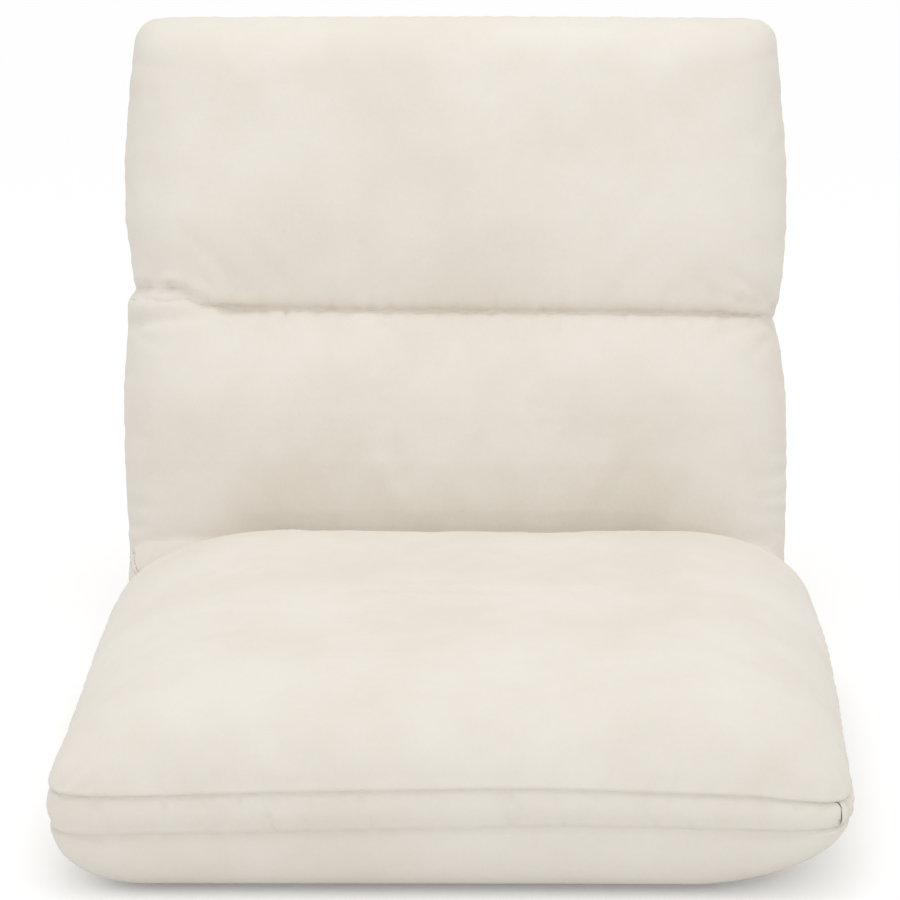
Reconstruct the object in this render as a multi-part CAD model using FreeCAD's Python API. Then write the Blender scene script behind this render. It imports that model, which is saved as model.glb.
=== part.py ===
# Folding floor chair: a thick seat cushion and a two pillow back on tube frames, joined by a
# pair of ratchet hinges inside a cloth roll. Millimetres, +Z up, the sitter faces -Y.
# The origin is on the floor, at the centre of the flat underside of the seat.
import FreeCAD, Part
import math
import os

V = FreeCAD.Vector
X_AXIS = V(1, 0, 0)

# Overall sizes
SEAT_WIDTH = 550.0
SEAT_REACH = 532.0        # front face of the seat to the hinge line
BACK_LENGTH = 467.0       # hinge line to the top of the back
HINGE_HEIGHT = 60.0
FLOOR_GAP = 3.0           # back above the floor when it lies flat
SEAT_CROWN = 137.0        # highest line of the seat cushion
PILLOW_DEPTH = 64.0       # front of the pillows before the back frame
CHANNEL_UP = 228.0        # sewn channel above the hinge line

# Angles of the back, all in degrees
REST_RECLINE = 15.0
FOLDED_OPENING = 30.0     # between seat and back when folded over
POSITIONS = 5
RECLINE_TRAVEL = 90.0 - REST_RECLINE
FOLD_TRAVEL = 90.0 + REST_RECLINE - FOLDED_OPENING
STEP_ANGLE = RECLINE_TRAVEL / (POSITIONS - 1)

# Cloth, foam and fits
COVER = 2.0               # lined cover cloth
SOFT_GAP = 0.3
RUN_GAP = 0.2
PIN_GAP = 0.05
SEAM_LOW = 52.0           # lower seam of the seat band
SEAM_HIGH = 77.0          # upper seam of the seat band
BAND_FRONT = -8.0         # band of the back, measured from its frame
BAND_REAR = 17.0
PINCH = 0.62              # depth left at the sewn channel, share of the pillow depth
TIE_T = 1.0               # inner strip that holds the channel down

# Frame tubes and straps
TUBE_R = 9.5
TUBE_WALL = 1.2
BEND_R = 50.0
BEND_FLATS = 5
RAIL_X = SEAT_WIDTH / 2 - 50.0
TUBE_START = 80.0         # end of each rail tube from the hinge line
STRAP_T = 1.5
EYE_GAP = 0.1
STRAP_W = 50.0
SEAT_STRAPS = 4
BACK_STRAPS = 3

# Hinge plates, all radii from the hinge line
PLATE_T = 5.0
CHEEK_T = 2.0
CHEEK_IN = PLATE_T / 2 + RUN_GAP
CHEEK_OUT = CHEEK_IN + CHEEK_T
CHEEK_R = 30.0
CHEEK_HALF = 12.0
PIVOT_R = 5.0
HEAD_T = 2.0
TIP_R = 26.0
TOOTH_DEPTH = 5.5
ROOT_R = TIP_R - TOOTH_DEPTH
TANG_HALF = 7.75
TANG_END = 130.0
TONGUE_START = 50.0
RIVET_R = 2.0
POST_PAD_R = 4.5          # metal of the cheek round the spring post
TUBE_RIVET = (TUBE_START + TANG_END) / 2
CHEEK_RIVET = TUBE_START - 11.0

# Pawl, drawn with its pin straight in front of the hinge line, then turned by PAWL_TILT
PAWL_TILT = 6.0
PAWL_ARM = 41.0           # pawl pin from the hinge line
PAWL_PIN_R = 2.5
BOSS_R = 8.0
NOSE_TURN = 36.0          # nose from the line of the two pins
NOSE_T = 2.8
NOSE_GAP = 0.3
MID_R = TIP_R - TOOTH_DEPTH / 2
PAWL_L = math.sqrt(PAWL_ARM**2 + MID_R**2
                   - 2 * PAWL_ARM * MID_R * math.cos(math.radians(NOSE_TURN)))
ARM_FROM = -66.0          # heel of the pawl, seen from its pin
ARM_TO = -30.0
SPRING_ARM = 16.0         # spring rivet from the pawl pin
SPRING_TURN = -95.0
SPRING_T = 0.6
SPRING_W = 4.0


# Angle at the pawl pin, from the line of the two pins, of a nose corner that is `out` from the hinge line
def corner_angle(out):
    inner = PAWL_L - NOSE_T
    share = (PAWL_ARM**2 + inner**2 - out**2) / (2 * PAWL_ARM * inner)
    return math.degrees(math.acos(share))


PAWL_LIFT = corner_angle(TIP_R + 2 * NOSE_GAP) - corner_angle(ROOT_R + NOSE_GAP)

# Cloth roll over the hinge line
ROLL_R = HINGE_HEIGHT - FLOOR_GAP
ROLL_HALF = SEAT_WIDTH / 2 - 5.0
ROLL_EDGE = 9.0
WALL_R = ROLL_R + 0.5     # hollow in seat and back round the roll

# Seat cushion outline
REAR_SET = 41.0           # rear wall of the seat before the hinge line
FRONT_ROUND = 38.0        # round under the front of the seat
REAR_ROUND = 15.0
HINGE_Y = (SEAT_REACH + REAR_SET + REAR_ROUND - FRONT_ROUND) / 2
FRONT_Y = HINGE_Y - SEAT_REACH
REAR_Y = HINGE_Y - REAR_SET
TOP_ROUND = 95.0          # how far in from the side the top rises
PLAN_FRONT_R = 30.0
PLAN_REAR_R = 70.0
COVER_STATIONS = (0.0, 3.0, 12.0, 30.0, 60.0, TOP_ROUND)
INNER_STATIONS = (0.0, 12.0, 45.0, TOP_ROUND)
BIG = 2000.0


# Small builders
def box(x0, x1, y0, y1, z0, z1):
    return Part.makeBox(x1 - x0, y1 - y0, z1 - z0, V(x0, y0, z0))


def bar(radius, x0, x1, y=0.0, z=0.0):
    return Part.makeCylinder(radius, x1 - x0, V(x0, y, z), X_AXIS)


def ring(outer, inner, x0, x1, y=0.0, z=0.0):
    return bar(outer, x0, x1, y, z).cut(bar(inner, x0, x1, y, z))


def plate(points, x0, x1):
    corners = [V(x0, y, z) for y, z in points]
    return Part.Face(Part.makePolygon(corners + corners[:1])).extrude(V(x1 - x0, 0, 0))


def outline(start, steps):
    edges = []
    here = start
    for step in steps:
        there = step[-1]
        if len(step) == 1:
            edges.append(Part.makeLine(here, there))
        else:
            edges.append(Part.Arc(here, step[0], there).toShape())
        here = there
    return Part.Wire(edges)


# The same outline in flat facets, for foam blocks and for the inside of a cover
def faceted(start, steps):
    corners = [start] + [point for step in steps for point in step]
    return Part.makePolygon(corners)


def join(shapes):
    return shapes[0].fuse(shapes[1:]).removeSplitter() if len(shapes) > 1 else shapes[0]


def turned(shape, degrees, y=0.0, z=0.0):
    copy = shape.copy()
    copy.rotate(V(0, y, z), X_AXIS, degrees)
    return copy


def moved(shape, x, y, z):
    copy = shape.copy()
    copy.translate(V(x, y, z))
    return copy


def at_hinge(shape, x=0.0):
    return moved(shape, x, HINGE_Y, HINGE_HEIGHT)


def on_back(shape, x=0.0):
    return at_hinge(turned(shape, -REST_RECLINE), x)


def both_sides(name, shape, place, nodes):
    nodes[name + "_left"] = place(shape, -RAIL_X)
    nodes[name + "_right"] = place(shape, RAIL_X)


def round_in(distance, radius):
    if distance >= radius:
        return 0.0
    return radius - math.sqrt(radius**2 - (radius - distance) ** 2)


def swell(distance, reach, least):
    share = 1.0 - round_in(distance, reach) / reach
    return max(share, least)


# Seat cushion: slices across the width, each one line and arc outline, joined by a loft
def seat_slice(x, side, inset, draw):
    front = FRONT_Y + inset + round_in(side, PLAN_FRONT_R)
    rear = REAR_Y - inset - round_in(side, PLAN_REAR_R)
    low = SEAM_LOW
    high = SEAM_HIGH
    top = (SEAT_CROWN - inset - high) * swell(side, TOP_ROUND, 0.10)
    under = low - (low - inset) * swell(side, FRONT_ROUND, 0.12)
    drop = low - under

    def at(y, z):
        return V(x, y, z)

    start = at(front, low)
    steps = [
        (at(front - 2.0, (low + high) / 2), at(front, high)),
        (at(front + 13.0, high + 0.55 * top), at(front + 52.0, high + 0.88 * top)),
        (at((front + rear) / 2, high + top), at(rear - 40.0, high + 0.83 * top)),
        (at(rear - 10.0, high + 0.62 * top), at(rear, high + 0.18 * top)),
        (at(rear, under + 0.30 * drop),),
        (at(rear - 0.3 * REAR_ROUND, under + 0.09 * drop), at(rear - REAR_ROUND, under)),
        (at(front + FRONT_ROUND, under),),
        (at(front + 0.29 * FRONT_ROUND, under + 0.29 * drop), start),
    ]
    return draw(start, steps)


def seat_form(inset, stations, draw):
    half = SEAT_WIDTH / 2 - inset
    left = [seat_slice(-half + s, s, inset, draw) for s in stations]
    middle = [seat_slice(0.0, half, inset, draw)]
    right = [seat_slice(half - s, s, inset, draw) for s in reversed(stations)]
    form = Part.makeLoft(left + middle + right, True, True)
    hollow = at_hinge(bar(WALL_R + inset, -BIG, BIG))
    return form.cut(hollow)


# Back cushion: level slices up the back, first drawn upright over the hinge line.
# Each row: height, half width, front depth, rear depth.
def back_rows():
    half = SEAT_WIDTH / 2
    deep = PILLOW_DEPTH
    rear = HINGE_HEIGHT - FLOOR_GAP
    up = CHANNEL_UP
    top = BACK_LENGTH
    pinch = PINCH * deep
    return [
        (30.0, half - 12.0, 0.58 * deep, rear - 14.0),
        (40.0, half - 7.0, 0.74 * deep, rear - 6.0),
        (56.0, half - 4.0, 0.88 * deep, rear - 1.5),
        (82.0, half - 2.0, 0.96 * deep, rear),
        (up - 90.0, half, deep, rear),
        (up - 40.0, half - 2.0, 0.96 * deep, rear),
        (up - 16.0, half - 5.5, 0.86 * deep, rear),
        (up - 5.0, half - 8.0, 0.72 * deep, rear),
        (up, half - 9.0, pinch, rear),
        (up + 5.0, half - 8.0, 0.72 * deep, rear),
        (up + 16.0, half - 5.5, 0.86 * deep, rear),
        (up + 40.0, half - 2.0, 0.96 * deep, rear),
        (up + 100.0, half, deep, rear),
        (top - 60.0, half - 5.5, 0.94 * deep, rear - 1.0),
        (top - 32.0, half - 8.0, 0.82 * deep, rear - 6.0),
        (top - 14.0, half - 12.0, 0.64 * deep, rear - 16.0),
        (top - 4.0, half - 20.0, 0.44 * deep, rear - 28.0),
        (top, half - 34.0, 0.30 * deep, rear - 36.0),
    ]


COVER_ROWS = tuple(range(18))
INNER_ROWS = (0, 2, 4, 5, 7, 8, 9, 11, 12, 14, 16, 17)
CORNER = 70.0             # how far in from the side a pillow rises


def back_slice(row, inset, lift, draw):
    height, half, front, rear = row
    half = half - inset
    front = inset - front
    rear = rear - inset
    z = height + lift
    corner = CORNER
    deep = BAND_FRONT - front
    far = rear - BAND_REAR
    shoulder = BAND_FRONT - 0.93 * deep

    def at(x, y):
        return V(x, y, z)

    start = at(half, BAND_FRONT)
    steps = [
        (at(half - 0.22 * corner, BAND_FRONT - 0.66 * deep), at(half - corner, shoulder)),
        (at(0.0, front), at(corner - half, shoulder)),
        (at(0.22 * corner - half, BAND_FRONT - 0.66 * deep), at(-half, BAND_FRONT)),
        (at(-half, BAND_REAR),),
        (at(0.15 * corner - half, BAND_REAR + 0.72 * far), at(0.6 * corner - half, rear)),
        (at(half - 0.6 * corner, rear),),
        (at(half - 0.15 * corner, BAND_REAR + 0.72 * far), at(half, BAND_REAR)),
        (start,),
    ]
    return draw(start, steps)


def back_form(inset, picked, draw):
    rows = [back_rows()[number] for number in picked]
    slices = []
    for number, row in enumerate(rows):
        if number == 0:
            lift = inset
        elif number >= len(rows) - 2:
            lift = -inset
        else:
            lift = 0.0
        slices.append(back_slice(row, inset, lift, draw))
    form = Part.makeLoft(slices, True, True)
    return form.cut(bar(WALL_R + inset, -BIG, BIG))


# A quarter bend of a tube, pressed in a few flats, from the end of a rail towards the middle
def bend(radius, begin, side):
    centre = begin - V(side * BEND_R, 0, 0)
    rings = []
    for number in range(BEND_FLATS + 1):
        circle = Part.Wire(Part.makeCircle(radius, begin))
        circle.rotate(centre, V(0, -side, 0), 90.0 * number / BEND_FLATS)
        rings.append(circle)
    return Part.makeLoft(rings, True, True)


# Frame tubes: a U of straight rails, two bends and an end run, in the plane y = 0
def u_rod(reach, radius):
    straight = reach - BEND_R - TUBE_START
    pieces = [bar(radius, BEND_R - RAIL_X, RAIL_X - BEND_R, 0.0, reach)]
    for side in (-1, 1):
        rail = side * RAIL_X
        pieces.append(Part.makeCylinder(radius, straight, V(rail, 0, TUBE_START)))
        pieces.append(bend(radius, V(rail, 0, reach - BEND_R), side))
    return join(pieces)


def u_tube(reach):
    return u_rod(reach, TUBE_R).cut(u_rod(reach, TUBE_R - TUBE_WALL))


# A tube across the frame, its ends cut to the round of the rails it is welded to
def cross_rod(height, radius):
    rod = bar(radius, -RAIL_X, RAIL_X, 0.0, height)
    for side in (-RAIL_X, RAIL_X):
        rod = rod.cut(Part.makeCylinder(TUBE_R, 4 * radius, V(side, 0, height - 2 * radius)))
    return rod


def cross_tube(height):
    return cross_rod(height, TUBE_R - 1.5).cut(bar(TUBE_R - 1.5 - TUBE_WALL, -RAIL_X, RAIL_X, 0.0, height))


# Straps: flat webbing with an eye folded round each rail in eight flats
def octagon(flat, x, low):
    reach = flat / math.cos(math.pi / 8)
    turns = [math.pi * (2 * number + 1) / 8 for number in range(9)]
    corners = [V(x + reach * math.cos(turn), reach * math.sin(turn), low) for turn in turns]
    return Part.Face(Part.makePolygon(corners)).extrude(V(0, 0, STRAP_W))


def strap(height):
    low = height - STRAP_W / 2
    inner = TUBE_R + EYE_GAP
    web = box(-RAIL_X, RAIL_X, -STRAP_T / 2, STRAP_T / 2, low, low + STRAP_W)
    whole = join([web] + [octagon(inner + STRAP_T, x, low) for x in (-RAIL_X, RAIL_X)])
    return without(whole, [octagon(inner, x, low) for x in (-RAIL_X, RAIL_X)])


def strap_heights(count, first, last):
    return [first + (last - first) * number / (count - 1) for number in range(count)]


# Hinge pieces, drawn round the hinge line with the seat rail running to -Y
def nose_side(first, last):
    far = 3 * PAWL_L
    wedge = [(-PAWL_ARM, 0.0)]
    for degrees in (first, last):
        angle = math.radians(degrees)
        wedge.append((-PAWL_ARM + far * math.cos(angle), far * math.sin(angle)))
    return plate(wedge, -PLATE_T, PLATE_T)


def nose_band(gap):
    band = ring(PAWL_L + gap, PAWL_L - NOSE_T - gap, -PLATE_T / 2 - gap, PLATE_T / 2 + gap, -PAWL_ARM)
    return band.common(nose_side(ARM_FROM, 0.0))


def pawl():
    half = PLATE_T / 2
    boss = bar(BOSS_R, -half, half, -PAWL_ARM)
    arm = bar(PAWL_L, -half, half, -PAWL_ARM).common(nose_side(ARM_FROM, ARM_TO))
    arm = arm.cut(bar(TIP_R + 2 * NOSE_GAP, -half, half))
    nose = nose_band(0.0).cut(bar(ROOT_R + NOSE_GAP, -half, half))
    whole = join([boss, arm, nose])
    return whole.cut(bar(PAWL_PIN_R + PIN_GAP, -half, half, -PAWL_ARM))


def pawl_lifted():
    return turned(turned(pawl(), -PAWL_LIFT, -PAWL_ARM), PAWL_TILT)


def ratchet():
    half = PLATE_T / 2
    whole = join([bar(TIP_R, -half, half), box(-half, half, -TANG_HALF, TANG_HALF, 0, TANG_END)])
    whole = turned(whole, -REST_RECLINE)
    gap = nose_band(NOSE_GAP).cut(bar(ROOT_R, -PLATE_T, PLATE_T))
    stops = [STEP_ANGLE * number for number in range(POSITIONS)] + [-FOLD_TRAVEL]
    for stop in stops:
        whole = whole.cut(turned(gap, PAWL_TILT + stop))
    holes = [bar(PIVOT_R + PIN_GAP, -half, half)]
    holes.append(turned(bar(RIVET_R, -half, half, 0.0, TUBE_RIVET), -REST_RECLINE))
    return whole.cut(join(holes))


def spring_pin_place():
    angle = math.radians(SPRING_TURN)
    place = V(0, -PAWL_ARM + SPRING_ARM * math.cos(angle), SPRING_ARM * math.sin(angle))
    return turned(Part.Vertex(place), PAWL_TILT).Point


def pawl_pin_place():
    return turned(Part.Vertex(V(0, -PAWL_ARM, 0)), PAWL_TILT).Point


def cheek():
    x0, x1 = CHEEK_IN, CHEEK_OUT
    pin = pawl_pin_place()
    post = spring_pin_place()
    strip_end = -TUBE_START + 2.0
    pieces = [
        bar(CHEEK_R, x0, x1),
        box(x0, x1, strip_end, 0, -CHEEK_HALF, CHEEK_HALF),
        bar(BOSS_R + 3.0, x0, x1, pin.y, pin.z),
        bar(POST_PAD_R, x0, x1, post.y, post.z),
        plate([(0, -CHEEK_R), (post.y, post.z - POST_PAD_R), (pin.y, pin.z), (0, 0)], x0, x1),
    ]
    holes = [bar(PIVOT_R, x0, x1), bar(PAWL_PIN_R, x0, x1, pin.y, pin.z)]
    holes += [bar(RIVET_R, x0, x1, post.y, post.z), bar(RIVET_R, x0, x1, -CHEEK_RIVET)]
    return join(pieces).cut(join(holes))


def tongue():
    half = CHEEK_IN
    whole = box(-half, half, -TANG_END, -TONGUE_START, -TANG_HALF + 0.1, TANG_HALF - 0.1)
    holes = [bar(RIVET_R, -half, half, -reach) for reach in (TUBE_RIVET, CHEEK_RIVET)]
    return whole.cut(join(holes))


def headed_pin(radius, head, inner, y=0.0, z=0.0):
    pieces = [bar(radius, -inner - HEAD_T, inner + HEAD_T, y, z)]
    for side in (-1, 1):
        near, far = sorted((side * inner, side * (inner + HEAD_T)))
        pieces.append(bar(head, near, far, y, z))
    return join(pieces)


def spring():
    half = SPRING_W / 2
    post = spring_pin_place()
    pin = pawl_pin_place()
    eye_in = RIVET_R + PIN_GAP
    eye_out = eye_in + SPRING_T
    along = math.radians(ARM_FROM - PAWL_LIFT + PAWL_TILT)
    forward = V(0, math.cos(along), math.sin(along))
    aside = V(0, math.sin(along), -math.cos(along))
    first = 10.0
    last = PAWL_L - 1.0
    near = 0.2
    corners = []
    for reach, off in ((first, near), (last, near), (last, near + SPRING_T), (first, near + SPRING_T)):
        point = pin + forward * reach + aside * off
        corners.append((point.y, point.z))
    leaf = plate(corners, -half, half)
    foot_a = pin + forward * first + aside * near
    foot_b = pin + forward * (first + 4.0) + aside * (near + SPRING_T)
    foot_corners = [(foot_a.y, foot_a.z), (foot_b.y, foot_b.z), (post.y, post.z - eye_out), (post.y, post.z)]
    foot = plate(foot_corners, -half, half)
    whole = join([leaf, foot, bar(eye_out, -half, half, post.y, post.z)])
    return whole.cut(bar(eye_in, -half, half, post.y, post.z))


# Rivets are set flush, so they are plain pins
def rivet(grip, y, z):
    return bar(RIVET_R, -grip, grip, y, z)


# Tube walls are drilled for the rivet that holds tang or tongue
def drilled(tube):
    for x in (-RAIL_X, RAIL_X):
        tube = tube.cut(bar(RIVET_R, x - 2 * TUBE_R, x + 2 * TUBE_R, 0.0, TUBE_RIVET))
    return tube


def seat_hardware(nodes):
    both_sides("cheek_outer", cheek(), lambda shape, x: at_hinge(outward(shape, x), x), nodes)
    both_sides("cheek_inner", cheek(), lambda shape, x: at_hinge(outward(shape, -x), x), nodes)
    both_sides("seat_tongue", tongue(), at_hinge, nodes)
    both_sides("pivot_pin", headed_pin(PIVOT_R, PIVOT_R + 3.0, CHEEK_OUT), at_hinge, nodes)
    pin = pawl_pin_place()
    both_sides("pawl_pin", headed_pin(PAWL_PIN_R, PAWL_PIN_R + 2.0, CHEEK_OUT, pin.y, pin.z), at_hinge, nodes)
    both_sides("pawl_spring", spring(), at_hinge, nodes)
    both_sides("pawl", pawl_lifted(), at_hinge, nodes)
    post = spring_pin_place()
    rivets = [
        rivet(CHEEK_OUT, -CHEEK_RIVET, 0.0),
        rivet(CHEEK_OUT, post.y, post.z),
        rivet(TUBE_R, -TUBE_RIVET, 0.0),
    ]
    pairs = [at_hinge(shape, x) for x in (-RAIL_X, RAIL_X) for shape in rivets]
    nodes["seat_rivets"] = Part.makeCompound(pairs)


def outward(shape, x):
    return shape if x > 0 else shape.mirror(V(0, 0, 0), X_AXIS)


def back_hardware(nodes):
    both_sides("ratchet", ratchet(), at_hinge, nodes)
    one = rivet(TUBE_R, 0.0, TUBE_RIVET)
    nodes["back_rivets"] = Part.makeCompound([on_back(one, x) for x in (-RAIL_X, RAIL_X)])


# Frames: drawn upright, the seat frame is then laid forward
def laid(shape):
    return at_hinge(turned(shape, 90.0))


PAD_FRONT = 42.0          # foam before the front run of the seat frame
PAD_TOP = 35.0            # foam over the top run of the back frame
SEAT_RUN = SEAT_REACH - PAD_FRONT
BACK_RUN = BACK_LENGTH - PAD_TOP
CROSS = TANG_END + 1.5 * TUBE_R
FIRST_STRAP = CROSS + TUBE_R + 0.7 * STRAP_W
SEAT_STRAP_PLACES = strap_heights(SEAT_STRAPS, FIRST_STRAP, SEAT_RUN - BEND_R - STRAP_W / 2)
BACK_STRAP_PLACES = strap_heights(BACK_STRAPS, FIRST_STRAP, BACK_RUN - BEND_R - STRAP_W / 2)


def frame(name, reach, places, place, nodes):
    nodes[name + "_frame_tube"] = place(drilled(u_tube(reach)))
    nodes[name + "_cross_tube"] = place(cross_tube(CROSS))
    nodes[name + "_straps"] = Part.makeCompound([place(strap(height)) for height in places])


# Grooves cut in the foam for the frame, the strap eyes round it, the webs and the cross tube
def frame_room(reach, places):
    wide = TUBE_R + HEAD_T + SOFT_GAP
    out = RAIL_X + wide
    inn = RAIL_X - wide
    top = reach + wide
    low = reach - wide
    clear = TUBE_R + SOFT_GAP
    cut = 2 * (BEND_R + wide) - math.sqrt(2) * (BEND_R + clear)
    fill = BEND_R - wide - math.sqrt((BEND_R - clear) ** 2 - (BEND_R - wide) ** 2)
    groove = [
        (-out, 0.0), (-out, top - cut), (cut - out, top), (out - cut, top), (out, top - cut), (out, 0.0),
        (inn, 0.0), (inn, low - fill), (inn - fill, low), (fill - inn, low), (-inn, low - fill), (-inn, 0.0),
    ]
    corners = [V(x, -wide, z) for x, z in groove]
    rooms = [Part.Face(Part.makePolygon(corners + corners[:1])).extrude(V(0, 2 * wide, 0))]
    tube = TUBE_R - 1.5 + SOFT_GAP
    rooms.append(box(-RAIL_X, RAIL_X, -tube, tube, CROSS - tube, CROSS + tube))
    web = STRAP_T / 2 + SOFT_GAP
    tall = STRAP_W / 2 + SOFT_GAP
    rooms += [box(-RAIL_X, RAIL_X, -web, web, height - tall, height + tall) for height in places]
    return rooms


# Openings in cover and foam where the hinge plates come through
def plate_room():
    wide = TUBE_R + HEAD_T + SOFT_GAP
    tall = CHEEK_HALF + 3.0
    return [box(x - wide, x + wide, -tall, tall, 0.0, TUBE_START + SOFT_GAP) for x in (-RAIL_X, RAIL_X)]


def without(shape, tools):
    for tool in tools:
        shape = shape.cut(tool)
    return shape


def slab(shape, axis, low, high):
    limits = [-BIG, BIG, -BIG, BIG, -BIG, BIG]
    limits[2 * axis] = low
    limits[2 * axis + 1] = high
    return shape.common(box(*limits))


def seat_cushion(nodes):
    room = [laid(tool) for tool in frame_room(SEAT_RUN, SEAT_STRAP_PLACES)]
    slots = [laid(tool) for tool in plate_room()]
    outside = seat_form(0.0, COVER_STATIONS, outline)
    shell = without(outside.cut(seat_form(COVER, INNER_STATIONS, faceted)), slots)
    nodes["seat_cover_top"] = slab(shell, 2, SEAM_HIGH, BIG)
    nodes["seat_cover_band"] = slab(shell, 2, SEAM_LOW, SEAM_HIGH)
    nodes["seat_cover_base"] = slab(shell, 2, -BIG, SEAM_LOW)
    foam = without(seat_form(COVER + SOFT_GAP, INNER_STATIONS, faceted), room + slots)
    nodes["seat_foam_upper"] = slab(foam, 2, HINGE_HEIGHT + SOFT_GAP / 2, BIG)
    nodes["seat_foam_lower"] = slab(foam, 2, -BIG, HINGE_HEIGHT - SOFT_GAP / 2)


def back_cushion(nodes):
    room = frame_room(BACK_RUN, BACK_STRAP_PLACES)
    slots = plate_room()
    outside = back_form(0.0, COVER_ROWS, outline)
    shell = without(outside.cut(back_form(COVER, INNER_ROWS, faceted)), slots)
    nodes["back_cover_front"] = on_back(slab(shell, 1, -BIG, BAND_FRONT))
    nodes["back_cover_band"] = on_back(slab(shell, 1, BAND_FRONT, BAND_REAR))
    nodes["back_cover_rear"] = on_back(slab(shell, 1, BAND_REAR, BIG))
    half = SEAT_WIDTH / 2 - CORNER - TUBE_R
    pinned = BAND_FRONT + 0.93 * (-PINCH * PILLOW_DEPTH - BAND_FRONT)
    flat = (CHANNEL_UP - TIE_T / 2, CHANNEL_UP + TIE_T / 2)
    tie = box(-half, half, pinned + COVER + 2 * SOFT_GAP, -STRAP_T, *flat)
    nodes["channel_tie"] = on_back(without(tie, room))
    foam = without(back_form(COVER + SOFT_GAP, INNER_ROWS, faceted), room + slots)
    front = slab(foam, 1, -BIG, -SOFT_GAP / 2)
    split = TIE_T / 2 + SOFT_GAP
    nodes["back_foam_lower"] = on_back(slab(front, 2, -BIG, CHANNEL_UP - split))
    nodes["back_foam_upper"] = on_back(slab(front, 2, CHANNEL_UP + split, BIG))
    nodes["back_foam_rear"] = on_back(slab(foam, 1, SOFT_GAP / 2, BIG))


# Cloth roll over the hinge line, open where the plates come through
def roll_solid(radius, half, edge):
    profile = [(-half, 0), (-half, radius - edge), (edge - half, radius),
               (half - edge, radius), (half, radius - edge), (half, 0)]
    corners = [V(x, 0, z) for x, z in profile]
    return Part.Face(Part.makePolygon(corners + corners[:1])).revolve(V(0, 0, 0), X_AXIS, 360)


def hinge_cover():
    shell = roll_solid(ROLL_R, ROLL_HALF, ROLL_EDGE)
    shell = shell.cut(roll_solid(ROLL_R - COVER, ROLL_HALF - COVER, ROLL_EDGE - COVER))
    tang_turn = math.degrees(math.asin(TANG_HALF / (ROLL_R - COVER))) + 1.0
    first = -tang_turn
    last = 90.0 - REST_RECLINE + FOLD_TRAVEL + tang_turn
    sweep = []
    count = 12
    for number in range(count + 1):
        angle = math.radians(first + (last - first) * number / count)
        sweep.append((2 * ROLL_R * math.cos(angle), 2 * ROLL_R * math.sin(angle)))
    half = PLATE_T / 2 + 0.5
    for x in (-RAIL_X, RAIL_X):
        shell = shell.cut(moved(plate([(0.0, 0.0)] + sweep, -half, half), x, 0, 0))
        wide = CHEEK_OUT + 0.8
        shell = shell.cut(box(x - wide, x + wide, -BIG, 0.0, -CHEEK_HALF - 0.8, CHEEK_HALF + 0.8))
    return at_hinge(shell)


def main():
    nodes = {}
    frame("seat", SEAT_RUN, SEAT_STRAP_PLACES, laid, nodes)
    frame("back", BACK_RUN, BACK_STRAP_PLACES, on_back, nodes)
    seat_hardware(nodes)
    back_hardware(nodes)
    nodes["hinge_cover"] = hinge_cover()
    seat_cushion(nodes)
    back_cushion(nodes)
    os.makedirs("parts", exist_ok=True)
    for name, shape in nodes.items():
        shape.exportStep("parts/" + name + ".step")
        limits = shape.BoundBox
        print("%-20s solids %2d valid %s  x %7.1f %7.1f  y %7.1f %7.1f  z %7.1f %7.1f  vol %.0f" % (
            name, len(shape.Solids), shape.isValid(), limits.XMin, limits.XMax,
            limits.YMin, limits.YMax, limits.ZMin, limits.ZMax, shape.Volume))


main()
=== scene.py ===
# %% [markdown]
# # A folding floor chair in cream suede cloth
#
# The real chair is a thick seat cushion and a back of two pillows, sewn from brushed suede cloth over foam.
# Steel tubes and two ratchet hinges hide inside, so the maker's work that shows is all cloth. The packed
# model brings the frame, the hinges and plain forms of the cushions, and this file sews the covers over them.

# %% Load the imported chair
import math

import bpy
import numpy as np
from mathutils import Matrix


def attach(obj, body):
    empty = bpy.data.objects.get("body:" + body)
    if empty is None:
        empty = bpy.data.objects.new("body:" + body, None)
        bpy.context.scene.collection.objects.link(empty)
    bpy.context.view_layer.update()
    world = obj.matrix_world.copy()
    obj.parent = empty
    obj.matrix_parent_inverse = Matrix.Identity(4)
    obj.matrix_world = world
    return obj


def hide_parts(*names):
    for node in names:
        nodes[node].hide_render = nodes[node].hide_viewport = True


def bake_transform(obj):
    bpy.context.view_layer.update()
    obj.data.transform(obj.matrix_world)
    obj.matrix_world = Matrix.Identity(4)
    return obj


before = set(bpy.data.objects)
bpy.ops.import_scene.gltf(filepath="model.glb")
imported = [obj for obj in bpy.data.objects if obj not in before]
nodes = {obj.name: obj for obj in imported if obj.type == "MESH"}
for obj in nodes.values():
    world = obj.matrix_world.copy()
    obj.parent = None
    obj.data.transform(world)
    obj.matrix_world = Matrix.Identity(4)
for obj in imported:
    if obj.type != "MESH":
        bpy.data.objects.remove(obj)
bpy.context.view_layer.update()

# %% [markdown]
# ## Camera
#
# The photograph was taken from the front with a long lens, looking down by the same 15 degrees that the
# back leans away, so the back is seen square on. The pinhole distance and lens below put the hinge line,
# the front seams and the top of the back on their places in a picture of 900 by 900.

# %% Camera square to the leaning back
LOOK_DOWN = math.radians(15.0)
LOOK_TURN = math.radians(0.6)
SENSOR = 36.0
PICTURE = 900.0
FOCAL_PIXELS = 3244.0
CAMERA_PLACE = (0.0226, -2.3035, 0.8648)

camera = bpy.data.objects.new("camera", bpy.data.cameras.new("camera"))
bpy.context.scene.collection.objects.link(camera)
camera.location = CAMERA_PLACE
camera.rotation_euler = (math.pi / 2 - LOOK_DOWN, 0.0, LOOK_TURN)
camera.data.sensor_width = SENSOR
camera.data.lens = SENSOR * (FOCAL_PIXELS / PICTURE)
bpy.context.scene.camera = camera
print("lens, mm:", round(camera.data.lens, 1))

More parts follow.
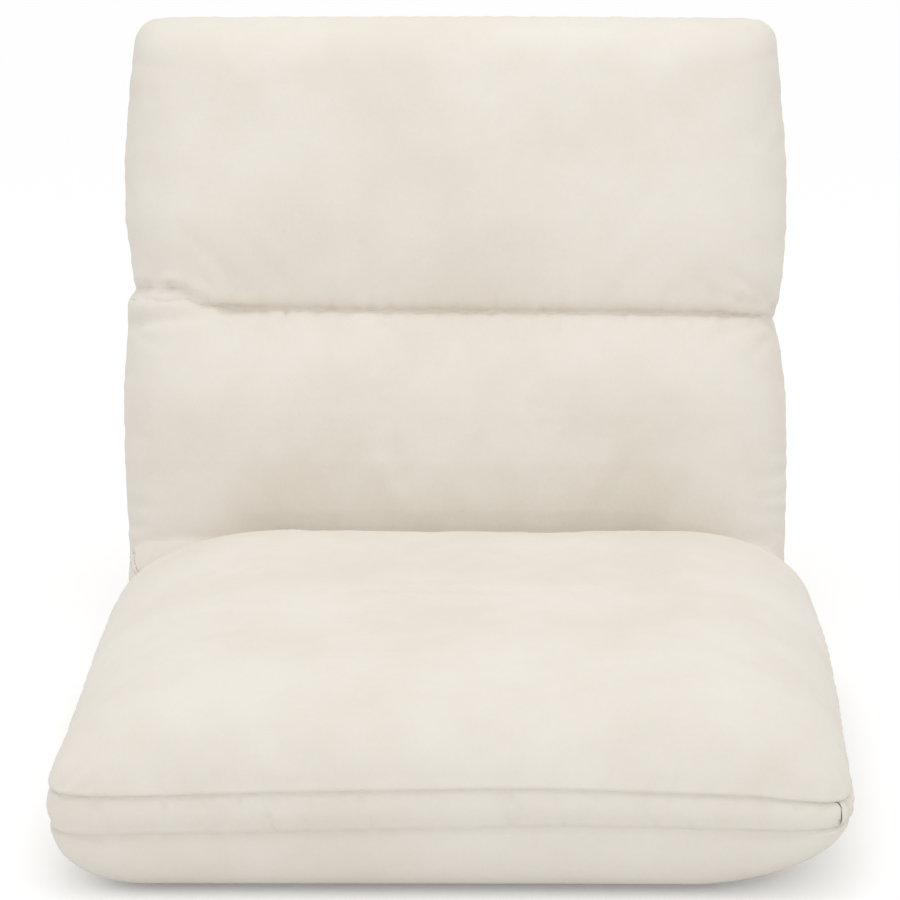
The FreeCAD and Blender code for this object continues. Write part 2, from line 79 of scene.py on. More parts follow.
# %% [markdown]
# ## Sizes of the cushions
#
# Both cushions are boxed: a crowned panel, a narrow band sewn round it and a flatter panel behind. A box
# is drawn in its own three directions: x across the chair, q along the cushion and r towards the sitter.
# On the seat, q is y and r is z. The back's q runs up from the hinge line. Left and right in the names
# below are those of the picture. All lengths are in millimetres here, and become metres when a mesh is made.

# %% Sizes in millimetres
MM = 0.001
HINGE_Y = 275.0
HINGE_Z = 60.0
HALF_WIDTH = 275.0
LEAN = math.radians(15.0)
ROLL_R = 57.0
ROLL_HALF = 270.0
ROLL_TAPER = 60.0
ROLL_END = 0.3
BACK_GAP, SEAT_GAP = 0.8, 2.0

SEAT_FRONT, SEAT_REAR = -257.0, 234.0
SEAT_TOP = 134.5
SEAT_NOSE = 76.0
SEAT_DOME = 57.0
SEAT_TAIL, SEAT_TAIL_POWER = 78.0, 2.2
BACK_LOW, BACK_TOP = 26.0, 467.5
CHANNEL = 228.0
BAND_FRONT, BAND_REAR, BACK_REAR = 8.0, -17.0, -57.0
PILLOW_RISE = 56.0
PILLOW_FOOT, PILLOW_FOOT_POWER, FOOT_SET = 30.0, 2.2, 6.0
PILLOW_TOP, PILLOW_TOP_POWER = 46.0, 2.3
print("seat, mm:", SEAT_REAR - SEAT_FRONT, "long,", SEAT_TOP, "high; back up to", BACK_TOP)


def rise(distance, reach, power=2.0):
    """The round of a stuffed edge: 0 on the seam, 1 where the panel has come up to its full height."""
    share = np.clip(distance / reach, 0.0, 1.0)
    return (1.0 - (1.0 - share) ** power) ** (1.0 / power)


def roll_radius(x):
    """The roll over the hinge is drawn in at its ends, where its cloth is gathered."""
    return ROLL_R * (ROLL_END + (1.0 - ROLL_END) * rise(ROLL_HALF - np.abs(x), ROLL_TAPER))


# %% [markdown]
# ## One mesh for a boxed cushion
#
# A closed box of quads could be unwrapped from a cube and smoothed, but then its edge loops miss the seams.
# Here the front panel and the rear panel are grids, and the band joins their outer rings, so that every
# seam runs along an edge loop and can be drawn in sharply. Two extra lines lie close to each seam for its
# groove. Square grids get rounded corners by drawing their edge in to a superellipse, and the exponent
# says how tight the corner is. The draw is smooth all over, so no mitre line shows on the panel.

# %% Grids, rings and the closed box
SEAM_LINES = np.array([0.9, 2.0])
BAND_SHARES = (0.035, 0.08, 0.18, 0.34, 0.5, 0.66, 0.82, 0.92, 0.965)


def even_lines(profile, start, end, count):
    """Places at equal steps along a profile, so that steep edges get lines too, and close to both ends."""
    fine = np.linspace(start, end, 20001)
    steps = np.hypot(np.diff(fine), np.diff(profile(fine)))
    travelled = np.concatenate([[0.0], np.cumsum(steps)])
    even = np.linspace(0.0, travelled[-1], count - 2 * len(SEAM_LINES))
    close = np.concatenate([SEAM_LINES, travelled[-1] - SEAM_LINES])
    return np.interp(np.sort(np.concatenate([even, close])), travelled, fine)


def lines_across(height, reach, count):
    """Lines from side to side, as shares from -1 to 1, for a panel that rises to height within reach."""
    lines = even_lines(lambda x: height * rise(HALF_WIDTH - np.abs(x), reach), -HALF_WIDTH, HALF_WIDTH, count)
    return lines / HALF_WIDTH


def rounded(s, t, power):
    """Draws a square grid in so that its edge is a superellipse; s and t run from -1 to 1."""
    draw_s = (1.0 - 0.5 * np.abs(t) ** power) ** (1.0 / power)
    draw_t = (1.0 - 0.5 * np.abs(s) ** power) ** (1.0 / power)
    return s * draw_s, t * draw_t


def ring_cells(columns, rows):
    """Grid cells round the outside, in order: front edge, right side, rear edge, left side."""
    cells = [(i, 0) for i in range(columns)]
    cells += [(columns - 1, j) for j in range(1, rows)]
    cells += [(i, rows - 1) for i in range(columns - 2, -1, -1)]
    cells += [(0, j) for j in range(rows - 2, 0, -1)]
    return np.array(cells)


def ring_out(points):
    """Directions that point out of a closed ring, level with its panel."""
    ahead = np.roll(points, -1, axis=0) - np.roll(points, 1, axis=0)
    out = np.stack([ahead[:, 1], -ahead[:, 0], 0.0 * ahead[:, 0]], axis=1)
    return out / np.maximum(np.linalg.norm(out, axis=1, keepdims=True), 1e-9)


def edge_rings(box):
    cells = ring_cells(*box["front"].shape[:2])
    return box["front"][cells[:, 0], cells[:, 1]], box["rear"][cells[:, 0], cells[:, 1]]


def band_rings(box, bulge):
    """Rings between the two panels, each pushed out a little so that the band is rounded."""
    top, low = edge_rings(box)
    out = ring_out(top)
    return np.array([top * (1 - share) + low * share + out * bulge * math.sin(math.pi * share)
                     for share in BAND_SHARES])


def box_faces(columns, rows):
    front = np.arange(columns * rows).reshape(columns, rows)
    rear = front + columns * rows
    quads = [np.stack([front[:-1, :-1], front[1:, :-1], front[1:, 1:], front[:-1, 1:]], -1).reshape(-1, 4)]
    quads.append(np.stack([rear[:-1, :-1], rear[:-1, 1:], rear[1:, 1:], rear[1:, :-1]], -1).reshape(-1, 4))
    cells = ring_cells(columns, rows)
    rings = [front[cells[:, 0], cells[:, 1]]]
    first = 2 * columns * rows
    for number in range(len(BAND_SHARES)):
        rings.append(first + number * len(cells) + np.arange(len(cells)))
    rings.append(rear[cells[:, 0], cells[:, 1]])
    for upper, lower in zip(rings[:-1], rings[1:]):
        quads.append(np.stack([upper, lower, np.roll(lower, -1), np.roll(upper, -1)], -1))
    return np.concatenate(quads)


def new_mesh(name, points, faces):
    mesh = bpy.data.meshes.new(name)
    mesh.from_pydata((np.asarray(points) * MM).tolist(), [], [list(map(int, face)) for face in faces])
    mesh.polygons.foreach_set("use_smooth", np.ones(len(mesh.polygons), bool))
    mesh.update()
    piece = bpy.data.objects.new(name, mesh)
    bpy.context.scene.collection.objects.link(piece)
    return piece


def all_points(box):
    return np.concatenate([box[part].reshape(-1, 3) for part in ("front", "rear", "band")])


def leaned(points):
    """From the back cushion's own x, q, r to the chair."""
    x, q, r = np.moveaxis(points, -1, 0)
    y = HINGE_Y + q * math.sin(LEAN) - r * math.cos(LEAN)
    z = HINGE_Z + q * math.cos(LEAN) + r * math.sin(LEAN)
    return np.stack([x, y, z], axis=-1)


def clear_of_roll(points, centre, gap):
    """Pushes points out of the round hollow over the hinge; centre is the hinge line in q and r."""
    moved = points.copy()
    clear = roll_radius(moved[..., :1]) + gap
    off = moved[..., 1:] - np.array(centre)
    far = np.maximum(np.linalg.norm(off, axis=-1, keepdims=True), 1e-6)
    moved[..., 1:] = np.where(far < clear, np.array(centre) + off / far * clear, moved[..., 1:])
    return moved


print("lines beside each seam:", len(SEAM_LINES), "rings in a band:", len(BAND_SHARES))

# %% [markdown]
# ## Seat cushion
#
# The seat is a foam block with a domed top. Its band is narrow: below the lower seam the underside cloth
# goes on down and rolls under to the floor, further round on the sitter's left than on the right. The
# seams sag towards the corners, as they do where a flat strip goes round a soft block, and the whole
# cushion leans a few millimetres to the sitter's left.

# %% Seat cushion: outline, heights and seams
SEAT_COLUMNS, SEAT_LINES = 181, 161
SEAT_ALONG = [-257, -150, -60, 50, 234]
SEAT_LEFT = [275, 271, 270, 270, 269]
SEAT_RIGHT = [274, 277, 281, 285, 285]
HIGH_SEAM_AT = [-270, -215, -124, 20, 72, 204, 268]
HIGH_SEAM = [72.0, 73.5, 76.7, 79.8, 80.0, 75.6, 68.0]
LOW_SEAM_AT = [-270, -215, -127, 0, 72, 153, 231, 268]
LOW_SEAM = [43.6, 45.0, 47.0, 50.3, 52.4, 51.3, 49.4, 50.0]
CORNERS_AT = [-1.0, -0.2, 0.6, 1.0]
CORNERS_LEFT = [18.0, 14.0, 7.5, 5.5]
CORNERS_RIGHT = [18.0, 14.0, 10.0, 8.5]


def seat_width(q, x):
    return np.where(x < 0, np.interp(q, SEAT_ALONG, SEAT_LEFT), np.interp(q, SEAT_ALONG, SEAT_RIGHT))


def seat_seams(x, q):
    """Heights of the upper and the lower seam of the band."""
    high = np.interp(x, HIGH_SEAM_AT, HIGH_SEAM)
    low = np.interp(x, LOW_SEAM_AT, LOW_SEAM)
    backwards = np.clip((q + 200.0) / 300.0, 0.0, 1.0)
    return high * (1 - backwards) + 76.0 * backwards, low * (1 - backwards) + 48.0 * backwards


def seat_crown(side, ahead, behind, left):
    """The dome of the top, 0 on the seam and 1 in the middle."""
    across = rise(side, np.where(left, 138.0, 108.0))
    return across * rise(ahead, SEAT_NOSE) * rise(behind, SEAT_TAIL, SEAT_TAIL_POWER)


def seat_under(side, ahead, behind, left):
    """Height of the underside: nearly upright under the lower seam, lifted a little along the front."""
    round_in = np.where(left, rise(side, 64.0), rise(side, 105.0, 1.7))
    share = np.clip(ahead / 62.0, 0.0, 1.0)
    lift = 0.13 * (1.0 - share) ** 2 * (1.0 + 2.0 * share)
    return 1.0 - rise(ahead, 20.0, 2.6) * (1.0 - lift) * round_in * rise(behind, 18.0)


def seat_box():
    half = (SEAT_REAR - SEAT_FRONT) / 2
    middle = (SEAT_REAR + SEAT_FRONT) / 2
    across = lines_across(SEAT_DOME, 120.0, SEAT_COLUMNS)

    def dome(q):
        return SEAT_DOME * rise(q - SEAT_FRONT, SEAT_NOSE) * rise(SEAT_REAR - q, SEAT_TAIL, SEAT_TAIL_POWER)

    along = even_lines(dome, SEAT_FRONT, SEAT_REAR, SEAT_LINES)
    square_s, square_t = np.meshgrid(across, (along - middle) / half, indexing="ij")
    tight_left = np.interp(square_t, CORNERS_AT, CORNERS_LEFT)
    tight_right = np.interp(square_t, CORNERS_AT, CORNERS_RIGHT)
    s, t = rounded(square_s, square_t, np.where(square_s < 0, tight_left, tight_right))
    q = middle + half * t
    x = s * seat_width(q, s)
    high, low = seat_seams(x, q)
    edges = ((1 - np.abs(square_s)) * seat_width(q, s), half * (1 + square_t), half * (1 - square_t), s < 0)
    top = high + (SEAT_TOP - high) * seat_crown(*edges)
    return {"front": np.stack([x, q, top], -1), "rear": np.stack([x, q, low * seat_under(*edges)], -1)}


seat = seat_box()
print("seat cushion grid:", seat["front"].shape[:2])

# %% [markdown]
# ## Back cushion
#
# One cover holds both pillows. A sewn channel pulls the front panel in at half height. The lower pillow is
# fullest just under the channel and falls away towards the hinge; the upper one keeps its depth and turns
# over the top in a short round. The half widths up each side were read against the outline of the real
# chair: the sides draw in at the channel, a little more on the sitter's left, and again at the top.

# %% Back cushion: outline, pillows and channel
BACK_COLUMNS, PILLOW_LINES = 181, 81
SIDE_UP = [26, 60, 100, 160, 200, 226, 238, 260, 298, 350, 410, 448, 467]
SIDE_LEFT = [268.5, 270.5, 273.5, 274.5, 271.5, 270.5, 265, 268.5, 273.5, 274.5, 270.5, 266.5, 263.5]
SIDE_RIGHT = [271.5, 272.5, 273.5, 272.5, 268.5, 263.5, 265.5, 269.5, 272.5, 272.5, 267.5, 264.5, 262.5]
DEPTH_UP = [26, 60, 100, 140, 172, 228, 467]
DEPTH = [36.0, 48.0, 57.0, 62.5, 64.0, 64.0, 64.0]
PINCH = 0.72
SAG_AT = [-270, -225, -180, -60, 120, 215, 270]
SAG = [5.0, 2.0, -2.0, -4.0, -4.5, -6.0, -8.0]
SQUARENESS_AT = [-1.0, -0.7, 0.7, 1.0]
SQUARENESS = [55.0, 40.0, 30.0, 32.0]


def back_width(q, x):
    return np.where(x < 0, np.interp(q, SIDE_UP, SIDE_LEFT), np.interp(q, SIDE_UP, SIDE_RIGHT))


def pillow_depth(q):
    """Depth of the pillows on the middle line, without the rounds of the edges."""
    away = np.abs(q - CHANNEL)
    channel = PINCH + 0.28 * rise(away, 75.0, 1.5) - 0.05 * np.exp(-((away / 4.0) ** 2))
    return channel * np.interp(q, DEPTH_UP, DEPTH)


def channel_sag(x, q):
    """The channel hangs a few millimetres lower in the middle and on the right than at its left end."""
    return np.interp(x, SAG_AT, SAG) * np.exp(-(((q - CHANNEL) / 70.0) ** 2))


def corner_drop(x, q):
    """The bottom corners reach down beside the drawn-in ends of the roll."""
    share = np.clip((np.abs(x) - 145.0) / 60.0, 0.0, 1.0)
    return -25.0 * share**2 * (3.0 - 2.0 * share) * np.clip(1.0 - (q - BACK_LOW) / 70.0, 0.0, 1.0)


def back_box():
    half = (BACK_TOP - BACK_LOW) / 2
    middle = (BACK_TOP + BACK_LOW) / 2
    across = lines_across(PILLOW_RISE, 80.0, BACK_COLUMNS)

    def depth(q):
        foot = rise(q - BACK_LOW + FOOT_SET, PILLOW_FOOT, PILLOW_FOOT_POWER)
        return pillow_depth(q) * foot * rise(BACK_TOP - q, PILLOW_TOP, PILLOW_TOP_POWER)

    lower = even_lines(depth, BACK_LOW, CHANNEL, PILLOW_LINES)
    upper = even_lines(depth, CHANNEL, BACK_TOP, PILLOW_LINES)
    along = np.concatenate([lower, upper[1:]])
    square_s, square_t = np.meshgrid(across, (along - middle) / half, indexing="ij")
    s, t = rounded(square_s, square_t, np.interp(square_t, SQUARENESS_AT, SQUARENESS))
    q = middle + half * t
    x = s * back_width(q, s)
    side = (1 - np.abs(square_s)) * back_width(q, s)
    below, above = half * (1 + square_t), half * (1 - square_t)
    front_round = rise(side, 80.0, 2.1) * rise(below + FOOT_SET, PILLOW_FOOT, PILLOW_FOOT_POWER)
    front_round = front_round * rise(above, PILLOW_TOP, PILLOW_TOP_POWER)
    front = BAND_FRONT + (pillow_depth(q) - BAND_FRONT) * front_round
    rear_round = rise(side, 42.0, 2.1) * rise(below + FOOT_SET, 40.0) * rise(above, PILLOW_TOP, 2.1)
    rear = BAND_REAR + (BACK_REAR - BAND_REAR) * rear_round
    q = q + channel_sag(x, q) + corner_drop(x, q)
    return {"front": np.stack([x, q, front], -1), "rear": np.stack([x, q, rear], -1)}


back = back_box()
print("back cushion grid:", back["front"].shape[:2])

# %% [markdown]
# ## Stuffing under the cloth
#
# Foam presses the panels outwards and the seams hold them back, so the cloth gathers beside each seam. A
# cloth run does this on every second line of each front panel: the seams and the channel are pinned, the
# cloth is cut a little larger than the form, and a steady pressure blows it up. Only the gathers are kept,
# because the drawn form already has the right fullness.

# %% Cloth run on a panel
CLOTH_FRAMES = 22
CLOTH_SLACK = -0.025
CLOTH_PRESSURE = 3.0
GATHER_MOST = 7.0
GATHER_SHARE = 0.3
SMOOTH_PASSES = 60


def smoothed(field, passes):
    """Each line of the grid is averaged with its neighbours, again and again."""
    for _ in range(passes):
        for axis in (0, 1):
            ends = [(1, 1) if k == axis else (0, 0) for k in range(3)]
            wide = np.pad(field, ends, mode="edge")
            before = np.take(wide, range(wide.shape[axis] - 2), axis=axis)
            after = np.take(wide, range(2, wide.shape[axis]), axis=axis)
            field = 0.25 * before + 0.5 * field + 0.25 * after
    return field


def doubled(field):
    """A field on every second line, spread to all lines."""
    for axis in (0, 1):
        count = field.shape[axis]
        first = np.take(field, range(count - 1), axis=axis)
        second = np.take(field, range(1, count), axis=axis)
        between = 0.5 * (first + second)
        shape = list(field.shape)
        shape[axis] = 2 * count - 1
        spread = np.empty(shape)
        even = [slice(None)] * 3
        odd = [slice(None)] * 3
        even[axis] = slice(0, None, 2)
        odd[axis] = slice(1, None, 2)
        spread[tuple(even)] = field
        spread[tuple(odd)] = between
        field = spread
    return field


def cloth_run(grid, held):
    """Blows up one panel for a few frames and gives the shift of each point, in millimetres."""
    columns, rows = grid.shape[:2]
    cells = np.arange(columns * rows).reshape(columns, rows)
    quads = np.stack([cells[:-1, :-1], cells[1:, :-1], cells[1:, 1:], cells[:-1, 1:]], -1).reshape(-1, 4)
    sheet = new_mesh("stuffing_run", grid.reshape(-1, 3), quads)
    pins = sheet.vertex_groups.new(name="pins")
    pins.add([int(k) for k in np.flatnonzero(held.reshape(-1))], 1.0, "REPLACE")
    cloth_settings = sheet.modifiers.new("cloth", "CLOTH")
    cloth = cloth_settings.settings
    cloth.quality = 6
    cloth.mass = 0.35
    cloth.tension_stiffness = 22.0
    cloth.compression_stiffness = 22.0
    cloth.shear_stiffness = 8.0
    cloth.bending_stiffness = 1.2
    cloth.air_damping = 4.0
    cloth.vertex_group_mass = "pins"
    cloth.shrink_min = CLOTH_SLACK
    cloth.use_pressure = True
    cloth.uniform_pressure_force = CLOTH_PRESSURE
    cloth.effector_weights.gravity = 0.0
    cloth_settings.point_cache.frame_start = 1
    cloth_settings.point_cache.frame_end = CLOTH_FRAMES
    for frame_number in range(1, CLOTH_FRAMES + 1):
        bpy.context.scene.frame_set(frame_number)
    settled = sheet.evaluated_get(bpy.context.evaluated_depsgraph_get()).to_mesh()
    flat = np.empty(3 * columns * rows)
    settled.vertices.foreach_get("co", flat)
    bpy.context.scene.frame_set(1)
    bpy.data.objects.remove(sheet)
    return flat.reshape(columns, rows, 3) / MM - grid


def gathers(grid, held):
    shift = cloth_run(grid, held)
    fine = shift - smoothed(shift, SMOOTH_PASSES)
    size = np.linalg.norm(fine, axis=-1, keepdims=True)
    fine *= GATHER_SHARE * np.minimum(1.0, GATHER_MOST / np.maximum(size, 1e-9))
    print("gathers, mm: largest", round(float(size.max()), 1), "middle", round(float(np.median(size)), 2))
    return doubled(fine)


def outer_ring(grid):
    held = np.zeros(grid.shape[:2], bool)
    held[[0, -1], :] = True
    held[:, [0, -1]] = True
    return held


def stuff_panels():
    seat_grid = seat["front"][::2, ::2]
    seat["front"] += gathers(seat_grid, outer_ring(seat_grid))
    back_grid = back["front"][::2, ::2]
    held = outer_ring(back_grid)
    held[:, (PILLOW_LINES - 1) // 2] = True
    back["front"] += gathers(back_grid, held)


stuff_panels()

# %% [markdown]
# ## Folds, puckers and seams
#
# The rest is a tailor's detail. Every panel point knows its distance from the panel's edges along the
# cloth, so a fold is a short line in those distances: a trough with a soft lip on both sides, deepest where
# it starts at a seam. Named folds follow the real chair. The many small puckers beside the seams come from
# a seeded draw, and each seam is a narrow groove between two low welts.

# %% Distances along the cloth, and the shape of one fold
draw = np.random.default_rng(7)


def cloth_distances(grid):
    """Distance along the cloth from the first line, the last line, the first column and the last column."""
    steps_q = np.linalg.norm(np.diff(grid, axis=1), axis=-1)
    steps_x = np.linalg.norm(np.diff(grid, axis=0), axis=-1)
    ahead = np.concatenate([np.zeros((grid.shape[0], 1)), np.cumsum(steps_q, axis=1)], axis=1)
    aside = np.concatenate([np.zeros((1, grid.shape[1])), np.cumsum(steps_x, axis=0)], axis=0)
    return ahead, ahead[:, -1:] - ahead, aside, aside[-1:, :] - aside


def nearest_edge(distances):
    ahead, behind, left, right = distances
    return np.minimum(np.minimum(ahead, behind), np.minimum(left, right))


def grid_normals(grid):
    """Directions out of a panel, evened out with the neighbours because corner cells are skewed."""
    across = np.gradient(grid, axis=0)
    along = np.gradient(grid, axis=1)
    out = smoothed(np.cross(across, along), 3)
    return out / np.maximum(np.linalg.norm(out, axis=-1, keepdims=True), 1e-9)


def crease(u, v, start, end, depth, width):
    """One fold on the cloth, from its deep start to where it fades out: a trough with a lip on each side."""
    along = np.array(end, float) - np.array(start, float)
    length = np.hypot(*along)
    share = np.clip(((u - start[0]) * along[0] + (v - start[1]) * along[1]) / length**2, 0.0, 1.0)
    off = np.hypot(u - start[0] - share * along[0], v - start[1] - share * along[1]) / width
    return depth * (1.0 - share) ** 0.8 * (0.42 * np.exp(-((off - 1.9) ** 2)) - np.exp(-(off**2)))


def dimple(u, v, place, size, height):
    return height * np.exp(-(((u - place[0]) / size[0]) ** 2) - ((v - place[1]) / size[1]) ** 2)


def puckers(u, v, first, last, count, depth, reach):
    """Small folds that start on a seam, where v is nought, spread from first to last along u."""
    total = np.zeros(np.broadcast(u, v).shape)
    for place in np.linspace(first, last, count):
        start = place + draw.uniform(-0.5, 0.5) * (last - first) / count
        length = draw.uniform(0.4, 1.0) * reach
        slant = draw.uniform(-0.5, 0.5) * length
        deep = depth * draw.uniform(0.15, 1.0) ** 1.5
        total += crease(u, v, (start, 0.0), (start + slant, length), deep, draw.uniform(2.0, 4.5))
    return total


def seam_line(distance):
    """A groove on the stitching and a low welt beside it."""
    return 0.9 * np.exp(-(((distance - 2.6) / 1.4) ** 2)) - 2.2 * np.exp(-((distance / 0.8) ** 2))


def held_flat(height, distance, reach=4.5):
    """The stitching holds the cloth flat, so folds only rise a few millimetres away from it."""
    return height * (1.0 - np.exp(-((distance / reach) ** 2))) + seam_line(distance)


# %% Folds of the two front panels: start, end, depth and width of each in millimetres
BACK_FOLDS = [
    ((-264, 243), (-226, 240), 4.0, 4.0), ((-234, 242), (-192, 226), 4.5, 4.0),
    ((-262, 214), (-190, 222), 3.2, 5.0), ((-190, 224), (-150, 223), 2.5, 4.0),
    ((-264, 236), (-236, 262), 1.4, 4.5), ((-268, 210), (-238, 190), 1.2, 4.5),
    ((264, 229), (214, 262), 2.2, 4.5), ((264, 226), (200, 240), 2.0, 4.0),
    ((262, 221), (206, 200), 2.0, 4.5), ((266, 212), (236, 178), 1.4, 5.0),
    ((275, 92), (238, 84), 1.6, 5.0), ((275, 75), (246, 69), 1.3, 4.0),
    ((275, 58), (236, 60), 1.6, 4.5), ((-274, 66), (-236, 58), 1.5, 5.0),
    ((-274, 45), (-243, 50), 1.2, 4.0), ((-273, 27), (-238, 36), 1.5, 4.5),
    ((-268, 430), (-225, 415), 1.0, 6.0), ((266, 436), (220, 420), 1.0, 6.0),
]
SEAT_FOLDS = [
    ((-20, 15), (-161, 19), 1.6, 6.0), ((-20, 15), (187, 18), 1.6, 6.0), ((-176, 60), (-138, 86), 1.3, 5.0),
    ((60, -120), (-90, -100), 0.5, 9.0), ((30, 120), (170, 132), 0.5, 8.0),
]
SEAT_CORNER_FOLDS = [
    ((-264, 5), (-244, 30), 2.2, 4.0), ((268, 0), (258, 28), 2.0, 3.5), ((-250, 0), (-225, 24), 1.4, 4.0),
]

# How many puckers a seam has, how deep the deepest is and how far it reaches
SEAT_NOSE_PUCKERS = (58, 1.0, 24.0)
PILLOW_FOOT_PUCKERS = (30, 0.8, 18.0)
FAR_PUCKERS = (40, 0.7, 20.0)
SIDE_PUCKERS = (26, 0.8, 24.0)
CHANNEL_PUCKERS = (64, 1.5, 34.0)


def shape_front(box, folds, front_puckers):
    grid = box["front"]
    x, q = grid[..., 0], grid[..., 1]
    distances = cloth_distances(grid)
    ahead, behind, left, right = distances
    height = sum(crease(x, q, *fold) for fold in folds)
    height = height + puckers(x, ahead, -250.0, 250.0, *front_puckers)
    height += puckers(x, behind, -245.0, 245.0, *FAR_PUCKERS)
    height += puckers(q, left, q.min() + 30.0, q.max() - 30.0, *SIDE_PUCKERS)
    height += puckers(q, right, q.min() + 30.0, q.max() - 30.0, *SIDE_PUCKERS)
    return height, nearest_edge(distances)


def fold_seat():
    height, edge = shape_front(seat, SEAT_FOLDS, SEAT_NOSE_PUCKERS)
    x = seat["front"][..., 0]
    ahead = cloth_distances(seat["front"])[0]
    for fold in SEAT_CORNER_FOLDS:
        height += crease(x, ahead, *fold)
    seat["front"] += grid_normals(seat["front"]) * held_flat(height, edge)[..., None]


def fold_back():
    height, edge = shape_front(back, BACK_FOLDS, PILLOW_FOOT_PUCKERS)
    x, q = back["front"][..., 0], back["front"][..., 1]
    off = q - CHANNEL - channel_sag(x, np.full_like(q, CHANNEL))
    height += dimple(x, q, (-240, 230), (26, 9), 6.0)
    height += dimple(x, q, (264, 217), (9, 7), -6.0)
    for side in (off, -off):
        near = np.where(side >= 0, side, 1e6)
        height += puckers(x, near, -255.0, 255.0, *CHANNEL_PUCKERS)
    stitched = 1.6 * np.exp(-((off / 1.8) ** 2)) * np.clip((x + 205.0) / 20.0, 0.0, 1.0)
    back["front"] += grid_normals(back["front"]) * (held_flat(height, edge) - stitched)[..., None]


fold_seat()
fold_back()
print("named folds:", len(BACK_FOLDS) + len(SEAT_FOLDS) + len(SEAT_CORNER_FOLDS))

# %% [markdown]
# The underside and the rear are not on the photograph. They get the plain puckers that any boxed cushion
# has beside its seams, and the bands get theirs from both seams at once.

# %% Undersides, rear panel and bands
BAND_PUCKERS = 130


def fold_rear(box, depth):
    grid = box["rear"]
    x, q = grid[..., 0], grid[..., 1]
    distances = cloth_distances(grid)
    ahead, behind, left, right = distances
    edge = nearest_edge(distances)
    height = puckers(x, ahead, -255.0, 255.0, 46, depth, 20.0)
    height += puckers(x, behind, -250.0, 250.0, 40, depth, 20.0)
    height += puckers(q, left, q.min() + 12.0, q.max() - 12.0, 34, depth, 20.0)
    height += puckers(q, right, q.min() + 12.0, q.max() - 12.0, 34, depth, 20.0)
    box["rear"] = grid - grid_normals(grid) * held_flat(height, edge)[..., None]


def fold_band(box, bulge, depth, folds):
    """The band: its width runs down v, and u runs round the cushion from the front left corner."""
    rings = band_rings(box, bulge)
    top, low = edge_rings(box)
    u = np.concatenate([[0.0], np.cumsum(np.linalg.norm(np.diff(top, axis=0), axis=1))])[None, :]
    width = np.linalg.norm(top - low, axis=1)[None, :]
    v = np.array(BAND_SHARES)[:, None] * width
    height = sum(crease(u, v, *fold) for fold in folds)
    height = height + puckers(u, v, 30.0, u.max() - 30.0, BAND_PUCKERS, depth, 26.0)
    height += puckers(u, width - v, 30.0, u.max() - 30.0, BAND_PUCKERS, depth, 22.0)
    height *= np.clip(np.minimum(u, u.max() - u) / 25.0, 0.0, 1.0)
    height = held_flat(height, np.minimum(v, width - v), 2.0)
    box["band"] = rings + ring_out(top)[None] * height[..., None]


SEAT_BAND_FOLDS = [
    ((538, 0), (546, 30), 2.6, 3.0), ((546, 22), (536, 6), 1.6, 2.5), ((470, 2), (478, 28), 1.3, 4.0),
    ((225, 0), (238, 26), 1.1, 4.5), ((312, 28), (326, 4), 1.1, 4.5), ((28, 2), (14, 26), 1.8, 4.0),
    ((120, 26), (108, 6), 0.8, 5.0), ((400, 28), (392, 6), 0.8, 5.0),
]

fold_rear(seat, 1.0)
fold_rear(back, 0.7)
fold_band(seat, 5.0, 2.4, SEAT_BAND_FOLDS)
fold_band(back, 2.5, 0.4, [])
seat["rear"][..., 2] = np.maximum(seat["rear"][..., 2], 0.0)
print("band rings, seat and back:", seat["band"].shape[:2], back["band"].shape[:2])

# %% [markdown]
# The points of panels and band are now final. They are kept out of the round hollow over the hinge, so that
# the roll can turn there, and the back is leaned into its place before the meshes are made.

# %% Meshes of the two cushions
seat_points = clear_of_roll(all_points(seat), (HINGE_Y, HINGE_Z), SEAT_GAP)
seat_cushion = new_mesh("seat_cushion", seat_points, box_faces(SEAT_COLUMNS, SEAT_LINES))
back_points = leaned(clear_of_roll(all_points(back), (0.0, 0.0), BACK_GAP))
back_cushion = new_mesh("back_cushion", back_points, box_faces(BACK_COLUMNS, 2 * PILLOW_LINES - 1))
for piece in (seat_cushion, back_cushion):
    print(piece.name, "points:", len(piece.data.vertices))

# %% [markdown]
# ## Cloth roll over the hinge line
#
# Where the seat and the back meet, the cover is sewn to a cloth roll. It is round about the hinge line, so
# it can turn without leaving its place. Its ends are gathered to a smaller round and closed with a cap.

# %% Hinge roll
ROLL_TURNS = 96
ROLL_LINES = 121
CAP_SHARES = (0.9, 0.6, 0.25)


def hinge_roll():
    angles = np.linspace(0.0, 2 * math.pi, ROLL_TURNS, endpoint=False)
    turn = np.linspace(-math.pi / 2, math.pi / 2, ROLL_LINES)
    lines = ROLL_HALF * np.sin(turn)
    radius = roll_radius(lines)
    places = [(-ROLL_HALF, share * radius[0]) for share in reversed(CAP_SHARES)]
    places += list(zip(lines, radius))
    places += [(ROLL_HALF, share * radius[-1]) for share in CAP_SHARES]
    rings = []
    for x, far in places:
        y = HINGE_Y + far * np.cos(angles)
        z = HINGE_Z + far * np.sin(angles)
        rings.append(np.stack([np.full(ROLL_TURNS, x), y, z], -1))
    points = np.concatenate(rings + [[[-ROLL_HALF, HINGE_Y, HINGE_Z], [ROLL_HALF, HINGE_Y, HINGE_Z]]])
    grid = np.arange(len(places) * ROLL_TURNS).reshape(len(places), ROLL_TURNS)
    ahead = np.roll(grid, -1, axis=1)
    faces = np.stack([grid[:-1], ahead[:-1], ahead[1:], grid[1:]], -1).reshape(-1, 4).tolist()
    left = grid.size
    faces += [[left, b, a] for a, b in zip(grid[0], ahead[0])]
    faces += [[left + 1, a, b] for a, b in zip(grid[-1], ahead[-1])]
    return new_mesh("hinge_roll", points, faces)


roll = hinge_roll()
print("hinge roll points:", len(roll.data.vertices))

